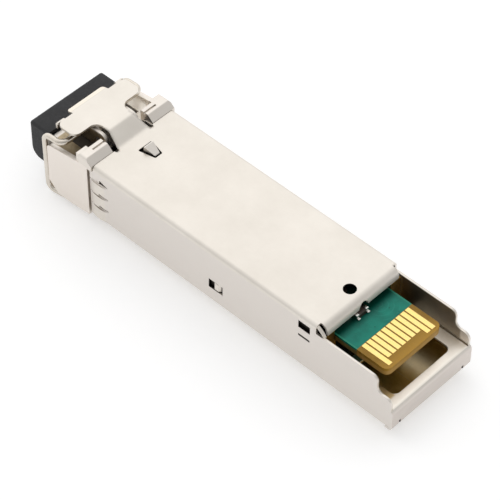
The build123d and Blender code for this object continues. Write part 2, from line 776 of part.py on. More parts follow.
# Latch lever: front pad over the crank, hub on the pin and the triangular boss at the rear
with BuildPart() as latch_lever:
    with BuildSketch(Plane.XZ):
        with BuildLine():
            Polyline(
                (lever_front, lever_pad_z),
                (lever_front, lever_pad_z + lever_pad_thickness),
                (lever_knee_x, lever_pad_z + lever_pad_thickness),
                (pivot_x + 0.6, lever_top),
                (lever_rear, lever_top),
                (lever_rear, lever_top - lever_thickness),
                (pivot_x, lever_top - lever_thickness),
                (pivot_x - lever_hub_radius + 0.1, pivot_z + 0.2),
                (lever_knee_x - 0.2, lever_pad_z),
                close=True,
            )
        make_face()
        with Locations((pivot_x, pivot_z)):
            Circle(lever_hub_radius)
            Circle(pin_diameter / 2 + pin_gap, mode=Mode.SUBTRACT)
    extrude(amount=lever_width / 2, both=True)
    with BuildSketch(Plane.XZ):
        with BuildLine():
            Polyline(
                (boss_front, lever_top - 0.1),
                (boss_front, boss_top),
                (boss_front + boss_flat, boss_top),
                (boss_rear, body_height),
                (boss_rear, lever_top - 0.1),
                close=True,
            )
        make_face()
    extrude(amount=boss_window_wide / 2, both=True)
    # The boss narrows to the rear like its window
    for side in (-1, 1):
        with BuildSketch(Plane.XY.offset(lever_top)):
            with BuildLine():
                Polyline(
                    (boss_window_front, side * (boss_window_wide / 2 - boss_gap)),
                    (boss_window_rear, side * (boss_window_narrow / 2 - boss_gap)),
                    (boss_window_rear, side * boss_window_wide),
                    (boss_window_front, side * boss_window_wide),
                    close=True,
                )
            make_face()
        extrude(amount=boss_top - lever_top + 0.1, mode=Mode.SUBTRACT)
latch_lever.part.label = "latch_lever"
export_step(latch_lever.part, "parts/latch_lever.step")


# Pin of the lever
with BuildPart() as lever_pin:
    with BuildSketch(Plane.XZ):
        with Locations((pivot_x, pivot_z)):
            Circle(pin_diameter / 2)
    extrude(amount=wall_outer, both=True)
lever_pin.part.label = "lever_pin"
export_step(lever_pin.part, "parts/lever_pin.step")


# Leaf spring under the rear of the lever
with BuildPart() as latch_spring:
    with BuildSketch(Plane.XZ):
        with BuildLine():
            Polyline(
                (port_floor_x + 0.2, spring_seat_z),
                (spring_bend_x, spring_seat_z),
                (spring_tip_x, lever_top - lever_thickness - spring_sheet),
                (lever_rear - 0.1, lever_top - lever_thickness - spring_sheet - 0.1),
                (lever_rear - 0.1, lever_top - lever_thickness - 0.1),
                (spring_tip_x, lever_top - lever_thickness),
                (spring_bend_x, spring_seat_z + spring_sheet),
                (port_floor_x + 0.2, spring_seat_z + spring_sheet),
                close=True,
            )
        make_face()
    extrude(amount=spring_width / 2, both=True)
latch_spring.part.label = "latch_spring"
export_step(latch_spring.part, "parts/latch_spring.step")


# Dust plug: one head with two hollow prongs
with BuildPart() as dust_plug:
    with BuildSketch(Plane.XZ.offset(-plug_width / 2)) as plug_side:
        with Locations(((plug_front + nose_front - plug_seat_gap) / 2, (plug_bottom + plug_top) / 2)):
            Rectangle(nose_front - plug_seat_gap - plug_front, plug_top - plug_bottom)
        fillet(plug_side.vertices().group_by(Axis.X)[0].sort_by(Axis.Y)[:1], radius=plug_chin)
        fillet(plug_side.vertices().group_by(Axis.X)[0].sort_by(Axis.Y)[-1:], radius=plug_edge)
    extrude(amount=plug_width)
    plug_rim = dust_plug.edges().filter_by(Axis.X).group_by(Axis.Z)[-1]
    fillet(plug_rim, radius=plug_edge)
    with BuildSketch(Plane.YZ.offset(nose_front - plug_seat_gap)):
        with Locations((-port_y, optic_axis_z), (port_y, optic_axis_z)):
            RectangleRounded(prong_size, prong_size, port_radius)
    extrude(amount=prong_length)
    with BuildSketch(Plane.YZ.offset(nose_front - plug_seat_gap + prong_length)):
        with Locations((-port_y, optic_axis_z), (port_y, optic_axis_z)):
            Circle(prong_bore / 2)
    extrude(amount=-prong_bore_depth, mode=Mode.SUBTRACT)
dust_plug.part.label = "dust_plug"
export_step(dust_plug.part, "parts/dust_plug.step")


# Printed circuit board, narrower at the rear where it enters the connector
with BuildPart() as main_board:
    with BuildSketch(Plane.XY.offset(board_bottom)) as board_plan:
        with Locations(((board_front + board_step_x) / 2, 0)):
            Rectangle(board_step_x - board_front, board_inner_width)
        with Locations(((board_step_x + board_rear) / 2 - 0.5, 0)):
            Rectangle(board_rear - board_step_x + 1.0, board_tab_width)
        fillet(board_plan.vertices().group_by(Axis.X)[-1], radius=board_corner)
    extrude(amount=board_thickness)
main_board.part.label = "main_board"
export_step(main_board.part, "parts/main_board.step")


# Ten contacts on each side of the board, the supply and ground ones longer
with BuildPart() as contacts_latch_side:
    for index in range(contacts_per_side):
        contact_end = contact_long_end if index in long_contacts else contact_short_end
        contact_y = (index - (contacts_per_side - 1) / 2) * contact_pitch
        with BuildSketch(Plane.XY.offset(board_top)):
            with Locations(((contact_inner + contact_end) / 2, contact_y)):
                Rectangle(contact_end - contact_inner, contact_width)
        extrude(amount=contact_thickness)
contacts_latch_side.part.label = "contacts_latch_side"
export_step(contacts_latch_side.part, "parts/contacts_latch_side.step")

with BuildPart() as contacts_label_side:
    for index in range(contacts_per_side):
        contact_end = contact_long_end if index in long_contacts else contact_short_end
        contact_y = (index - (contacts_per_side - 1) / 2) * contact_pitch
        with BuildSketch(Plane.XY.offset(board_bottom - contact_thickness)):
            with Locations(((contact_inner + contact_end) / 2, contact_y)):
                Rectangle(contact_end - contact_inner, contact_width)
        extrude(amount=contact_thickness)
contacts_label_side.part.label = "contacts_label_side"
export_step(contacts_label_side.part, "parts/contacts_label_side.step")


# Chip by the rear lip: ceramic body with a metal cap on each end
with BuildPart() as bypass_capacitor:
    with BuildSketch(Plane.XY.offset(board_top)):
        with Locations((lip_chip_x, lip_chip_y)):
            Rectangle(lip_chip_width, lip_chip_length - 2 * lip_chip_cap)
    extrude(amount=lip_chip_height - cap_overlap)
    with BuildSketch(Plane.XY.offset(board_top)):
        with Locations((lip_chip_x, lip_chip_y)):
            with GridLocations(1, lip_chip_length - lip_chip_cap, 1, 2):
                Rectangle(lip_chip_width + 2 * cap_overlap, lip_chip_cap)
    extrude(amount=lip_chip_height)
bypass_capacitor.part.label = "bypass_capacitor"
export_step(bypass_capacitor.part, "parts/bypass_capacitor.step")


# Integrated circuits on the board
with BuildPart() as laser_driver:
    with BuildSketch(Plane.XY.offset(board_top)):
        with Locations((driver_x, -driver_y)):
            Rectangle(driver_size, driver_size)
    extrude(amount=package_height)
    chamfer(laser_driver.faces().sort_by(Axis.Z)[-1].edges(), length=package_chamfer)
laser_driver.part.label = "laser_driver"
export_step(laser_driver.part, "parts/laser_driver.step")

with BuildPart() as limiting_amplifier:
    with BuildSketch(Plane.XY.offset(board_top)):
        with Locations((driver_x, driver_y)):
            Rectangle(amplifier_size, amplifier_size)
    extrude(amount=package_height)
    chamfer(limiting_amplifier.faces().sort_by(Axis.Z)[-1].edges(), length=package_chamfer)
limiting_amplifier.part.label = "limiting_amplifier"
export_step(limiting_amplifier.part, "parts/limiting_amplifier.step")

with BuildPart() as microcontroller:
    with BuildSketch(Plane.XY.offset(board_top)):
        with Locations((controller_x, 0)):
            Rectangle(controller_size, controller_size)
    extrude(amount=package_height)
    chamfer(microcontroller.faces().sort_by(Axis.Z)[-1].edges(), length=package_chamfer)
microcontroller.part.label = "microcontroller"
export_step(microcontroller.part, "parts/microcontroller.step")

with BuildPart() as memory_chip:
    with BuildSketch(Plane.XY.offset(board_bottom)):
        with Locations((memory_x, 0)):
            Rectangle(memory_length, memory_width)
    extrude(amount=-memory_height)
memory_chip.part.label = "memory_chip"
export_step(memory_chip.part, "parts/memory_chip.step")


# Groups of small chips, four rows on the latch side and two on the label side
with BuildPart() as chip_capacitors:
    with BuildSketch(Plane.XY.offset(board_top)):
        for row_x in capacitor_rows_x:
            with Locations((row_x, 0)):
                with GridLocations(1, chip_pitch, 1, chips_per_row):
                    Rectangle(chip_width, chip_length)
    extrude(amount=capacitor_height)
chip_capacitors.part.label = "chip_capacitors"
export_step(chip_capacitors.part, "parts/chip_capacitors.step")

with BuildPart() as chip_resistors:
    with BuildSketch(Plane.XY.offset(board_bottom)):
        for row_x in resistor_rows_x:
            with Locations((row_x, 0)):
                with GridLocations(1, chip_pitch, 1, chips_per_row):
                    Rectangle(chip_width, chip_length)
    extrude(amount=-resistor_height)
chip_resistors.part.label = "chip_resistors"
export_step(chip_resistors.part, "parts/chip_resistors.step")

with BuildPart() as filter_inductors:
    with BuildSketch(Plane.XY.offset(board_top)):
        with Locations((inductor_x, 0)):
            with GridLocations(1, inductor_pitch, 1, inductor_count):
                Rectangle(inductor_length, inductor_width)
    extrude(amount=inductor_height)
filter_inductors.part.label = "filter_inductors"
export_step(filter_inductors.part, "parts/filter_inductors.step")


# Optics: a barrel for the ferrule and a can with its leads, once for each port
with BuildPart() as transmitter_barrel:
    with BuildSketch(Plane.YZ.offset(barrel_tip)):
        with Locations((-port_y, optic_axis_z)):
            Circle(barrel_diameter / 2)
    extrude(amount=bay_front - barrel_tip)
    with BuildSketch(Plane.YZ.offset(bay_front)):
        with Locations((-port_y, optic_axis_z)):
            Circle(barrel_flange_diameter / 2)
    extrude(amount=barrel_flange_length)
    with BuildSketch(Plane.YZ.offset(bay_front + barrel_flange_length)):
        with Locations((-port_y, optic_axis_z)):
            Circle(barrel_body_diameter / 2)
    extrude(amount=barrel_body_end - bay_front - barrel_flange_length)
    with BuildSketch(Plane.YZ.offset(barrel_tip)):
        with Locations((-port_y, optic_axis_z)):
            Circle(ferrule_bore / 2)
    extrude(amount=ferrule_depth, mode=Mode.SUBTRACT)
transmitter_barrel.part.label = "transmitter_barrel"
export_step(transmitter_barrel.part, "parts/transmitter_barrel.step")

with BuildPart() as receiver_barrel:
    add(mirror(transmitter_barrel.part, about=Plane.XZ, mode=Mode.PRIVATE))
receiver_barrel.part.label = "receiver_barrel"
export_step(receiver_barrel.part, "parts/receiver_barrel.step")

with BuildPart() as transmitter_can:
    with BuildSketch(Plane.YZ.offset(barrel_body_end)):
        with Locations((-port_y, optic_axis_z)):
            Circle(can_diameter / 2)
    extrude(amount=can_length)
    with BuildSketch(Plane.YZ.offset(barrel_body_end + can_length)):
        with Locations((-port_y, optic_axis_z)):
            Circle(header_diameter / 2)
    extrude(amount=header_length)
    with BuildSketch(Plane.YZ.offset(barrel_body_end + can_length + header_length)):
        with Locations((-port_y, optic_axis_z)):
            with PolarLocations(lead_circle, lead_count):
                RegularPolygon(lead_diameter / 2, lead_sides)
    extrude(amount=lead_length)
transmitter_can.part.label = "transmitter_can"
export_step(transmitter_can.part, "parts/transmitter_can.step")

with BuildPart() as receiver_can:
    add(mirror(transmitter_can.part, about=Plane.XZ, mode=Mode.PRIVATE))
receiver_can.part.label = "receiver_can"
export_step(receiver_can.part, "parts/receiver_can.step")


# Flexible circuits from the leads up to the latch side of the board
flex_x = barrel_body_end + can_length + header_length + flex_gap
with BuildPart() as transmitter_flex:
    with BuildSketch(Plane.XZ.offset(port_y)) as flex_side:
        with BuildLine():
            Polyline(
                (flex_x, optic_axis_z - flex_reach),
                (flex_x, board_top + flex_sheet),
                (board_front + flex_overlap, board_top + flex_sheet),
                (board_front + flex_overlap, board_top),
                (flex_x + flex_sheet, board_top),
                (flex_x + flex_sheet, optic_axis_z - flex_reach),
                close=True,
            )
        make_face()
        fillet([v for v in flex_side.vertices() if v.X < flex_x + 0.01 and v.Y > board_top], radius=flex_bend)
        inner_corner = [
            v for v in flex_side.vertices() if abs(v.X - flex_x - flex_sheet) < 0.01 and v.Y > board_top - 0.01
        ]
        fillet(inner_corner, radius=flex_bend - flex_sheet)
    extrude(amount=flex_width / 2, both=True)
    with BuildSketch(Plane.YZ.offset(flex_x - 0.1)):
        with Locations((-port_y, optic_axis_z)):
            with PolarLocations(lead_circle, lead_count):
                RegularPolygon(lead_diameter / 2 + lead_gap, lead_sides)
    extrude(amount=flex_sheet + 0.2, mode=Mode.SUBTRACT)
transmitter_flex.part.label = "transmitter_flex"
export_step(transmitter_flex.part, "parts/transmitter_flex.step")

with BuildPart() as receiver_flex:
    add(mirror(transmitter_flex.part, about=Plane.XZ, mode=Mode.PRIVATE))
receiver_flex.part.label = "receiver_flex"
export_step(receiver_flex.part, "parts/receiver_flex.step")


# Clamp plate behind the flanges of both barrels
with BuildPart() as optics_clamp:
    with BuildSketch(Plane.YZ.offset(bay_front + barrel_flange_length)):
        with Locations((0, (bay_floor + clamp_top) / 2)):
            Rectangle(2 * (rail_inner - clamp_gap), clamp_top - bay_floor)
        for side in (-1, 1):
            with Locations((side * port_y, optic_axis_z)):
                Circle(barrel_body_diameter / 2 + 0.05, mode=Mode.SUBTRACT)
            with Locations((side * port_y, (optic_axis_z + clamp_top + 0.5) / 2)):
                Rectangle(barrel_body_diameter + 0.1, clamp_top + 0.5 - optic_axis_z, mode=Mode.SUBTRACT)
    extrude(amount=clamp_thickness)
optics_clamp.part.label = "optics_clamp"
export_step(optics_clamp.part, "parts/optics_clamp.step")
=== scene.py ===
"""Looks of a pluggable optical transceiver: finishes, small trim, soft studio and camera."""

import json
import math
from collections import namedtuple

import bmesh
import bpy
from mathutils import Matrix, Vector


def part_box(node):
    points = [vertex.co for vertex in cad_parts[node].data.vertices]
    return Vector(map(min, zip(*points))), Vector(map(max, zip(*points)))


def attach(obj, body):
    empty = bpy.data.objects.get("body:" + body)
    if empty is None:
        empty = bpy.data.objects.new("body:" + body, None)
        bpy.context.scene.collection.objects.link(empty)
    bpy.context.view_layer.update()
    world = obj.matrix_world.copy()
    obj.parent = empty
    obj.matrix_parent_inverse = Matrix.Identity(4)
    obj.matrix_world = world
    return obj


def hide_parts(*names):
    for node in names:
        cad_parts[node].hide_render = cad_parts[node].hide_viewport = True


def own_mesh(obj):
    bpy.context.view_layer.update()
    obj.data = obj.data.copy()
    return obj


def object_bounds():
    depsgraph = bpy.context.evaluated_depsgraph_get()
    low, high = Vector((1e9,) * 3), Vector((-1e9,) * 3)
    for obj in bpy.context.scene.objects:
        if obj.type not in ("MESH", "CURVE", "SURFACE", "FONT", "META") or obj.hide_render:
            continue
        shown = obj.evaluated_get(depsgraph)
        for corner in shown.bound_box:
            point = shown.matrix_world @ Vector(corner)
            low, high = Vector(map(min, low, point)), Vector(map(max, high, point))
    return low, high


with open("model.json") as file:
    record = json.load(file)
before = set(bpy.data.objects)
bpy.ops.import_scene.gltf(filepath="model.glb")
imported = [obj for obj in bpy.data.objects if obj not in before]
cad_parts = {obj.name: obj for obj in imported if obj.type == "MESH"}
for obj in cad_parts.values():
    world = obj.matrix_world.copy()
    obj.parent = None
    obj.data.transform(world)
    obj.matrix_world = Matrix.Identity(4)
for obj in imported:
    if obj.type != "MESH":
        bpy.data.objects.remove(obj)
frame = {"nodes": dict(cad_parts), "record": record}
cad_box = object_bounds()
nodes = frame["nodes"]

MM = 0.001

# Camera: where the photograph was taken from, in the part's own frame
CAMERA_MM = (148.47, -138.50, 212.01)
CAMERA_AZIMUTH = 43.48
CAMERA_ELEVATION = 47.57
CAMERA_ROLL = -0.25
CAMERA_CLIP_M = 0.01
SENSOR_MM = 36.0
LENS_MM = 176.28

# Studio
FLOOR_SIZE_M = 6.0
FLOOR_GAP = 0.02 * MM
FLOOR_ALBEDO = 0.80
FLOOR_LIFT = 0.36
SKY_LEVEL = 0.70
SKY_SLOPE = (-0.51, 0.20, 0.20)
SKY_GLOW = 0.55
SKY_GLOW_POWER = 2.3
SKY_GLOW_WIDTH = 0.4
KEY_PLACE_M = (-0.25, 0.22, 0.40)
KEY_TARGET_M = (0.016, 0.0, 0.004)
KEY_SIZE_M = 0.40
KEY_WATTS = 0.05

# Latch wire, in millimetres: corner points of one half, from the axle's middle to the crossbar's middle
WIRE_RADIUS = 0.39
WIRE_RESOLUTION = 5
BEND_RADIUS = 1.0
BEND_STEPS = 10
WIRE_CORNERS = (
    (-7.37, 0.0, 8.25),
    (-7.37, 1.0, 8.25),
    (-7.15, 1.6, 8.25),
    (-7.15, 6.5, 8.25),
    (-10.2, 6.5, 8.0),
    (-10.1, 6.5, -0.85),
    (-6.5, 6.0, -0.85),
    (-6.5, 0.0, -0.85),
)

# Chip under the lip, in millimetres
CHIP_CAP = 0.45
CHIP_CAP_RISE = 0.08
CHIP_SETBACK = 0.30
CHIP_BODY_EDGE = 0.03
CHIP_CAP_EDGE = 0.07
SOLDER_RISE = 0.30
SOLDER_OVERLAP = 0.12
SOLDER_INSET = 0.02
SOLDER_EDGE = 0.10
EDGE_SEGMENTS = 3

# Strip of sheet across the near corner notch of the lip, in millimetres: X and Z of its ends and crown
WEB_ENDS = ((33.45, 8.15), (34.58, 7.12))
WEB_CROWN = (34.15, 7.84)
WEB_SPAN = (-6.17, -6.55)
WEB_SHEET = 0.16
WEB_STEPS = 10

# Rounded look of sharp edges, in millimetres
EDGE_SOFTNESS = 0.07
RAMP_SOFTNESS = 0.55
EDGE_SAMPLES = 6

# The middle range of a noise texture, which most of its surface keeps to
NOISE_RANGE = (0.3, 0.7)

# How far clouds and grain change the roughness of plating, and clouds that of moulded parts
PLATING_CLOUDS = 0.03
PLATING_GRAIN = 0.02
MOULDED_CLOUDS = 0.06

# Sockets of a colour Mix node
MIX_FACTOR, MIX_FIRST, MIX_SECOND, MIX_RESULT = 0, 6, 7, 2

# Duller and smoother spots of the sleeve
GLINT_DULL = 0.5
GLINT_POLISH = 0.22
LIP_DULL = 0.75
FAR_POCKET_METALLIC = 0.35

# Board: curved traces and vias, each with the share of its colour
TRACE_CENTRE_MM = (35.2, 2.0)
TRACE_RINGS = 480.0
TRACE_BAND = (0.80, 0.95)
TRACE_SHARE = 0.5
VIA_SCALE = 1250.0
VIA_RADII = (0.10, 0.16)
VIA_SHARE = 0.55
WEAVE_STRETCH = (1.0, 6.0, 1.0)

# Board, in millimetres: where each zone starts or ends, and how softly
LIP_SHADOW_END = (35.30, 0.6)
MASK_END = (37.72, 0.04)
REAR_GLOW_START = (41.3, 0.9)

# A patch is a box of the part's frame, in millimetres, that gets a colour of its own. None leaves an axis
# free, border is the softness of its limits, and a mirrored patch has its Y range on both sides.
Patch = namedtuple("Patch", "x y z border mirrored colour share", defaults=(1.0,))

RAMP_BENDS = Patch((-4.6, -1.2), (0.0, 3.0), (8.2, 9.8), 0.20, True, None)
TRACE_AREA = Patch((35.3, 37.5), (0.6, 3.4), None, 0.30, False, None)

SHEET_PATCHES = {
    # painted shade and painted reflections of the board on the inner walls and floor
    "inner_walls_shade_and_reflection": Patch((34.7, 43.4), (6.3, 6.46), (0.1, 7.1), 0.12, True, None),
    "floor": Patch((34.7, 44.72), (0.0, 6.46), (0.1, 2.9), 0.04, True, None),
    "glint": Patch((38.6, 43.2), (0.9, 4.3), (0.1, 0.4), 0.90, False, (1.0, 0.95, 0.84)),
    "lip_face": Patch((34.25, 34.75), (0.0, 6.0), (6.9, 7.9), 0.15, True, (0.72, 0.69, 0.64)),
    # painted light on the lip in front of the tongue, and a painted shade line at its bend
    "tongue_lip_painted_light": Patch((-10.3, -9.45), (0.0, 3.0), (9.0, 9.8), 0.05, True, (0.835, 0.765, 0.665)),
    "tongue_bend_painted_shade": Patch((-9.42, -9.30), (0.0, 2.9), (9.0, 9.8), 0.04, True, (0.71, 0.655, 0.58)),
    # painted light: the frame's top made paler than the rest of the sheet
    "frame_top_painted_light": Patch((36.3, 44.72), (0.0, 6.46), (2.97, 3.4), 0.03, True, (0.96, 0.90, 0.81)),
    "frame_corner": Patch((36.0, 43.5), (-6.46, -4.6), (2.97, 3.4), 0.15, False, (0.62, 0.44, 0.17), 0.85),
    # painted shade: the rear wall and outer sides kept darker than the top
    "rear_wall_painted_shade": Patch((44.9, 45.2), None, (-1.0, 3.1), 0.06, False, (0.665, 0.61, 0.565)),
    "outer_sides_painted_shade": Patch((-3.0, 45.2), (6.66, 6.8), (-1.0, 7.8), 0.03, True, (0.735, 0.69, 0.645)),
    # painted shade: dark marks on the rear wall where the bend reliefs open
    "bend_relief_painted_shade": Patch((43.9, 44.96), (5.0, 5.6), (-0.2, 1.4), 0.02, True, (0.05, 0.045, 0.04)),
    # painted shade on the walls of the windows and the gauge hole, and a painted dark line for the side slit
    "boss_window_painted_shade": Patch((-0.2, 2.7), (0.0, 2.6), (7.9, 8.37), 0.01, True, (0.07, 0.055, 0.045)),
    "gauge_hole_painted_shade": Patch((31.3, 33.4), (0.0, 1.0), (7.9, 8.37), 0.01, True, (0.02, 0.02, 0.02)),
    "snap_window_painted_shade": Patch((16.6, 17.6), (6.3, 6.67), (2.0, 3.9), 0.01, True, (0.05, 0.04, 0.035)),
    "rear_window_painted_shade": Patch((30.5, 33.0), (6.3, 6.67), (4.8, 7.2), 0.01, True, (0.05, 0.045, 0.04)),
    "side_slit_painted_shade": Patch((30.9, 32.6), (6.6, 6.8), (4.97, 5.31), 0.04, True, (0.10, 0.09, 0.08)),
}
CAST_PATCHES = {
    # painted light on the cheek faces and in the far pocket, painted shade in the near pocket
    "cheeks_painted_light": Patch((-12.0, -2.6), (6.8, 7.1), (-1.0, 7.9), 0.04, True, (0.82, 0.76, 0.70)),
    "near_pocket_painted_shade": Patch((-9.4, -4.02), (-6.27, -2.6), (4.0, 8.85), 0.06, False, None),
    "far_pocket_painted_light": Patch((-9.4, -4.02), (2.6, 6.27), (4.0, 8.85), 0.06, False, (0.95, 0.885, 0.79)),
    # painted shade on the casting's walls seen through the sleeve's windows
    "behind_windows_painted_shade": Patch((-1.8, 34.3), (0.0, 6.42), (-1.0, 8.08), 0.01, True, (0.035, 0.03, 0.025)),
    "rail_ends": Patch((34.3, 36.0), (0.0, 6.42), (-1.0, 8.08), 0.01, True, (0.42, 0.28, 0.09)),
}
LEVER_PATCHES = {
    "boss_foot": Patch((-0.6, 4.0), None, (7.0, 8.42), 0.04, False, (0.06, 0.05, 0.04)),
}
RUBBER_PATCHES = {
    "front_rim": Patch((-14.0, -13.25), None, None, 0.12, False, (0.075, 0.075, 0.078), 0.55),
    "prongs": Patch((-9.0, 0.0), None, (6.2, 9.0), 0.03, False, (0.056, 0.045, 0.035)),
}
MASK_PATCHES = {
    "upper_rim": Patch((33.3, 37.8), (4.42, 4.62), (6.2, 6.4), 0.04, True, (0.05, 0.36, 0.22), 0.5),
    "cut_edge": Patch((33.25, 37.8), (4.57, 4.7), (5.1, 5.95), 0.04, True, (0.20, 0.125, 0.030)),
}
BARE_PATCHES = {
    "lower_edge": Patch((37.8, 42.3), None, (5.2, 5.85), 0.04, False, (0.50, 0.30, 0.09), 0.8),
}


# Node helpers

def material(name):
    made = bpy.data.materials.new(name)
    made.use_nodes = True
    tree = made.node_tree
    return made, tree, tree.nodes["Principled BSDF"]


def node(tree, kind, **settings):
    """A new node, with each setting put on the input of that name, or else on the node itself."""
    made = tree.nodes.new(kind)
    for key, value in settings.items():
        if key in made.inputs:
            made.inputs[key].default_value = value
        else:
            setattr(made, key, value)
    return made


def link(tree, source, target):
    tree.links.new(source, target)


def place(tree, scale=(1.0, 1.0, 1.0)):
    """Coordinates of the surface in the part's frame, stretched per axis."""
    coords = node(tree, "ShaderNodeTexCoord")
    mapping = node(tree, "ShaderNodeMapping", Scale=scale)
    link(tree, coords.outputs["Object"], mapping.inputs["Vector"])
    return mapping.outputs["Vector"]


def split(tree):
    """The surface's X, Y and Z in the part's frame."""
    coords = node(tree, "ShaderNodeTexCoord")
    parts = node(tree, "ShaderNodeSeparateXYZ")
    link(tree, coords.outputs["Object"], parts.inputs[0])
    return parts.outputs


def noise(tree, vector, scale, detail=3.0, rough=0.55):
    made = node(tree, "ShaderNodeTexNoise", Scale=scale, Detail=detail, Roughness=rough)
    link(tree, vector, made.inputs["Vector"])
    return made.outputs["Fac"]


def spread(tree, value, low, high, lowest=NOISE_RANGE[0], highest=NOISE_RANGE[1]):
    """Maps the range from lowest to highest to the range from low to high."""
    made = node(tree, "ShaderNodeMapRange")
    made.inputs["From Min"].default_value = lowest
    made.inputs["From Max"].default_value = highest
    made.inputs["To Min"].default_value = low
    made.inputs["To Max"].default_value = high
    link(tree, value, made.inputs["Value"])
    return made.outputs["Result"]


def blend_colours(tree, factor, first, second):
    """First colour where the factor is 0, second where it is 1. Either may be a tuple or a socket."""
    made = node(tree, "ShaderNodeMix", data_type="RGBA")
    for index, colour in ((MIX_FIRST, first), (MIX_SECOND, second)):
        if isinstance(colour, tuple):
            made.inputs[index].default_value = (*colour, 1.0)
        else:
            link(tree, colour, made.inputs[index])
    link(tree, factor, made.inputs[MIX_FACTOR])
    return made.outputs[MIX_RESULT]


def combine(tree, operation, first, second):
    """One math node. Either value may be a number or a socket."""
    made = node(tree, "ShaderNodeMath", operation=operation)
    for index, value in enumerate((first, second)):
        if isinstance(value, (int, float)):
            made.inputs[index].default_value = value
        else:
            link(tree, value, made.inputs[index])
    return made.outputs[0]


def bump(tree, shader, height, strength, distance_mm):
    made = node(tree, "ShaderNodeBump", Strength=strength, Distance=distance_mm * MM)
    link(tree, height, made.inputs["Height"])
    link(tree, made.outputs["Normal"], shader.inputs["Normal"])


def behind(tree, edge, border):
    """1 where the surface lies behind X = edge, 0 in front of it. Both values are in millimetres."""
    return spread(tree, split(tree)[0], 0.0, 1.0, (edge - border) * MM, (edge + border) * MM)


def within(tree, patch):
    """1 inside the patch, 0 outside it."""
    border = patch.border * MM
    total = None
    for axis, limits, value in zip("xyz", (patch.x, patch.y, patch.z), split(tree)):
        if limits is None:
            continue
        if axis == "y" and patch.mirrored:
            value = combine(tree, "ABSOLUTE", value, 0.0)
        low, high = (limit * MM for limit in limits)
        above = spread(tree, value, 0.0, 1.0, low - border, low + border)
        below = spread(tree, value, 1.0, 0.0, high - border, high + border)
        inside = combine(tree, "MULTIPLY", above, below)
        total = inside if total is None else combine(tree, "MULTIPLY", total, inside)
    return total


def overlay(tree, tone, patches, tones=None):
    """Lays each patch over a tone in turn. tones names the patches whose colour is a socket.
    Gives back the new tone and the masks by name."""
    masks = {}
    for name, patch in patches.items():
        masks[name] = within(tree, patch)
        share = masks[name]
        if patch.share < 1.0:
            share = combine(tree, "MULTIPLY", share, patch.share)
        colour = patch.colour if patch.colour else tones[name]
        tone = blend_colours(tree, share, tone, colour)
    return tone, masks


def paint(tree, shader, patches, tones=None):
    """Lays the patches over a shader's colour, and gives back their masks by name."""
    colour = shader.inputs["Base Color"]
    tone, masks = overlay(tree, colour.links[0].from_socket, patches, tones)
    link(tree, tone, colour)
    return masks


def soften(tree, shader, wide_patch=None):
    """Rounds the look of edges by a small radius, and by a wider one within the patch."""
    edge = node(tree, "ShaderNodeBevel", samples=EDGE_SAMPLES, Radius=EDGE_SOFTNESS * MM)
    if wide_patch:
        mask = within(tree, wide_patch)
        radius = spread(tree, mask, EDGE_SOFTNESS * MM, RAMP_SOFTNESS * MM, 0.0, 1.0)
        link(tree, radius, edge.inputs["Radius"])
    grain = shader.inputs["Normal"].links[0].from_node
    link(tree, edge.outputs["Normal"], grain.inputs["Normal"])


# Finishes

def plating(name, pale, dark, roughness, grain=2500.0, streak=(1.0, 1.0, 1.0)):
    """Satin nickel: cloudy tone, fine grain in roughness and height."""
    made, tree, shader = material(name)
    where = place(tree, streak)
    clouds = noise(tree, where, scale=150.0, detail=6.0, rough=0.62)
    fine = noise(tree, where, scale=grain, detail=2.0)
    link(tree, blend_colours(tree, spread(tree, clouds, 0.0, 1.0), dark, pale), shader.inputs["Base Color"])
    cloudy = spread(tree, clouds, roughness - PLATING_CLOUDS, roughness + PLATING_CLOUDS)
    grainy = spread(tree, fine, -PLATING_GRAIN, PLATING_GRAIN)
    link(tree, combine(tree, "ADD", cloudy, grainy), shader.inputs["Roughness"])
    shader.inputs["Metallic"].default_value = 1.0
    bump(tree, shader, fine, strength=0.08, distance_mm=0.004)
    return made, tree, shader


def sheet_finish():
    """The sleeve: pale outside, with painted shade and painted reflections, dull and brownish, where the
    plating is seen from inside, and painted light and shade on parts of its outside.
    """
    made, tree, shader = plating(
        "sheet_nickel", pale=(0.788, 0.742, 0.678), dark=(0.700, 0.655, 0.592), roughness=0.40
    )
    soften(tree, shader, RAMP_BENDS)
    # mottle of the painted shade and painted reflections inside the sleeve and the near pocket
    painted_light_mottle = spread(tree, noise(tree, place(tree), scale=420.0, detail=5.0, rough=0.7), 0.0, 1.0)
    masks = paint(tree, shader, SHEET_PATCHES, {
        "inner_walls_shade_and_reflection": blend_colours(tree, painted_light_mottle, (0.15, 0.12, 0.065), (0.31, 0.245, 0.15)),
        "floor": blend_colours(tree, painted_light_mottle, (0.56, 0.38, 0.10), (0.80, 0.60, 0.24)),
    })
    glint_dull = combine(tree, "MULTIPLY", masks["glint"], GLINT_DULL)
    lip_dull = combine(tree, "MULTIPLY", masks["lip_face"], LIP_DULL)
    dull = combine(tree, "ADD", glint_dull, lip_dull)
    link(tree, combine(tree, "SUBTRACT", 1.0, dull), shader.inputs["Metallic"])
    rough = shader.inputs["Roughness"].links[0].from_socket
    polish = combine(tree, "MULTIPLY", masks["glint"], GLINT_POLISH)
    link(tree, combine(tree, "SUBTRACT", rough, polish), shader.inputs["Roughness"])
    return made


